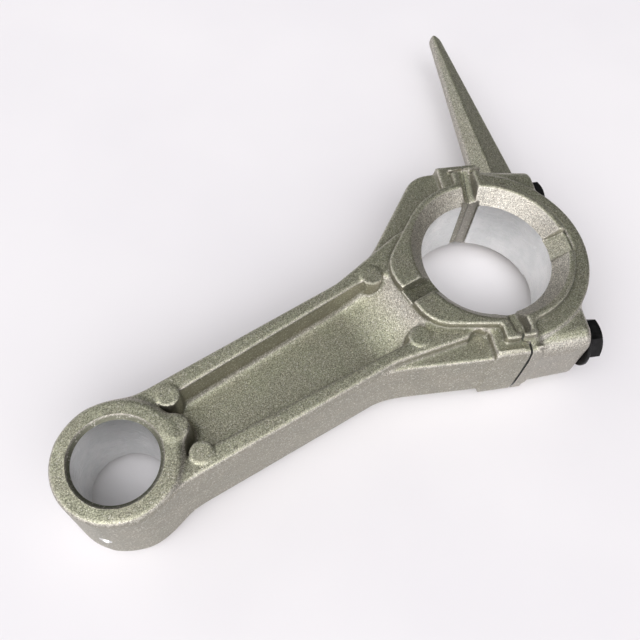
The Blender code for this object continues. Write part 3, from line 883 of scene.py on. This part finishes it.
def make_cap(centre):
    """The cap, made like the rod but in its own turned frame; the painted light on its slanted faces and
    walls is a little lighter.
    """
    low, high = (-6.0, -33.5), (30.0, 101.0, 15.0)
    cap, whole, corner = casting("cap_casting", cap_field(*grid(low, high)), low)
    machine_cap(cap)
    mark_solid(cap, whole, corner)
    # Lighter painted light on the cap's slanted faces and walls
    cast = cast_aluminium("cap_cast", slope=(0.48, 0.46, 0.41), drawn=(0.36, 0.345, 0.305))
    dress(cap, "cap_casting", [cast, machined_aluminium("cap_machined")])
    mark_machined(cap, cap_machined)
    stand(cap, centre, CAP_ANGLE)
    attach(cap, "cap")
    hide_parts("rod_cap")


def make_bolts(centre):
    """The two bolts; each head stops at its own angle."""
    steel = black_oxide("bolt_black_oxide")
    for name, side, turn in (("upper", 1, 20.0), ("lower", -1, 30.0)):
        bolt = cap_bolt(turn)
        dress(bolt, name + "_bolt_detail", [steel], 28)
        stand(bolt, centre, CAP_ANGLE, (0, side * BOLT_OFFSET, 0))
        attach(bolt, name + "_bolt")
        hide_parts("cap_bolt_" + name)


def make_floor():
    """A flat sheet, wide enough to fill the view."""
    bm = bmesh.new()
    bmesh.ops.create_grid(bm, x_segments=8, y_segments=8, size=1.6)
    mesh = bpy.data.meshes.new("floor")
    bm.to_mesh(mesh)
    bm.free()
    floor = bpy.data.objects.new("floor", mesh)
    bpy.context.scene.collection.objects.link(floor)
    floor.data.materials.append(pale_floor("pale_sheet"))


# ---------------------------------------------------------------- light and camera

# Softboxes round the table: the direction each stands in, and its strength
SOFTBOXES = [
    ((-0.51, -0.30, 0.80), 2.9),
    ((-0.10, -0.72, 0.68), 1.05),
    ((0.05, -0.92, 0.36), 0.6),
    ((-0.94, 0.00, 0.34), 0.60),
    ((-0.60, 0.70, 0.38), 0.60),
    ((0.00, 0.94, 0.34), 0.35),
]
# Cosine of the angle at which a softbox has faded out, and the strength of the dim room
SOFTBOX_EDGE = 0.70
ROOM = 0.05


def make_light():
    """Soft studio light: a dim room with a few wide softboxes that fade at their edges."""
    world = bpy.data.worlds.new("studio")
    world.use_nodes = True
    tree = world.node_tree
    direction = tree.nodes.new("ShaderNodeTexCoord").outputs["Generated"]
    total = None
    for place, strength in SOFTBOXES:
        toward = tree.nodes.new("ShaderNodeVectorMath")
        toward.operation = "DOT_PRODUCT"
        tree.links.new(direction, toward.inputs[0])
        toward.inputs[1].default_value = Vector(place).normalized()
        glow = tree.nodes.new("ShaderNodeMapRange")
        glow.interpolation_type = "SMOOTHSTEP"
        tree.links.new(toward.outputs["Value"], glow.inputs["Value"])
        glow.inputs["From Min"].default_value = SOFTBOX_EDGE
        glow.inputs["To Max"].default_value = strength
        added = tree.nodes.new("ShaderNodeMath")
        tree.links.new(glow.outputs["Result"], added.inputs[0])
        if total:
            tree.links.new(total, added.inputs[1])
        else:
            added.inputs[1].default_value = ROOM
        total = added.outputs[0]
    background = tree.nodes["Background"]
    background.inputs["Color"].default_value = (1.0, 0.985, 1.0, 1.0)
    tree.links.new(total, background.inputs["Strength"])
    bpy.context.scene.world = world
    bpy.context.scene.view_settings.view_transform = "Standard"


def make_camera(centre):
    """Camera at the photograph's place: fitted to the bores and their spacing."""
    place = Vector((-108.4, -64.1, 170.7)) * MM
    tilt, roll, heading = (math.radians(angle) for angle in (29.60, -3.32, -33.43))
    camera = bpy.data.objects.new("camera", bpy.data.cameras.new("camera"))
    bpy.context.scene.collection.objects.link(camera)
    camera.data.sensor_width = 36.0
    camera.data.lens = 40.75
    camera.data.clip_start = 0.01
    camera.location = centre + place
    camera.rotation_euler = (tilt, roll, heading)
    bpy.context.scene.camera = camera


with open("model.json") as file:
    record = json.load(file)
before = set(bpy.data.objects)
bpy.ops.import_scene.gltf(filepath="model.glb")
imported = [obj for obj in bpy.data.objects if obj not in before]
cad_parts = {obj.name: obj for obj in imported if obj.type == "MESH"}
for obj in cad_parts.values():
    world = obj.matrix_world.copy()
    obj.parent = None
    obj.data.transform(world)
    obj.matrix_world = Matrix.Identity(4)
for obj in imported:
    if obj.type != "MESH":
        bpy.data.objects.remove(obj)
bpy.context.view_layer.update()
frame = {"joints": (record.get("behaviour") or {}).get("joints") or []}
hinges = [Vector(j["pos_m"]) for j in frame["joints"] if j["type"] == "hinge"]
crank_centre = (hinges[0] + hinges[1]) / 2
make_camera(crank_centre)
make_light()
make_floor()
make_rod(crank_centre)
make_cap(crank_centre)
make_bolts(crank_centre)
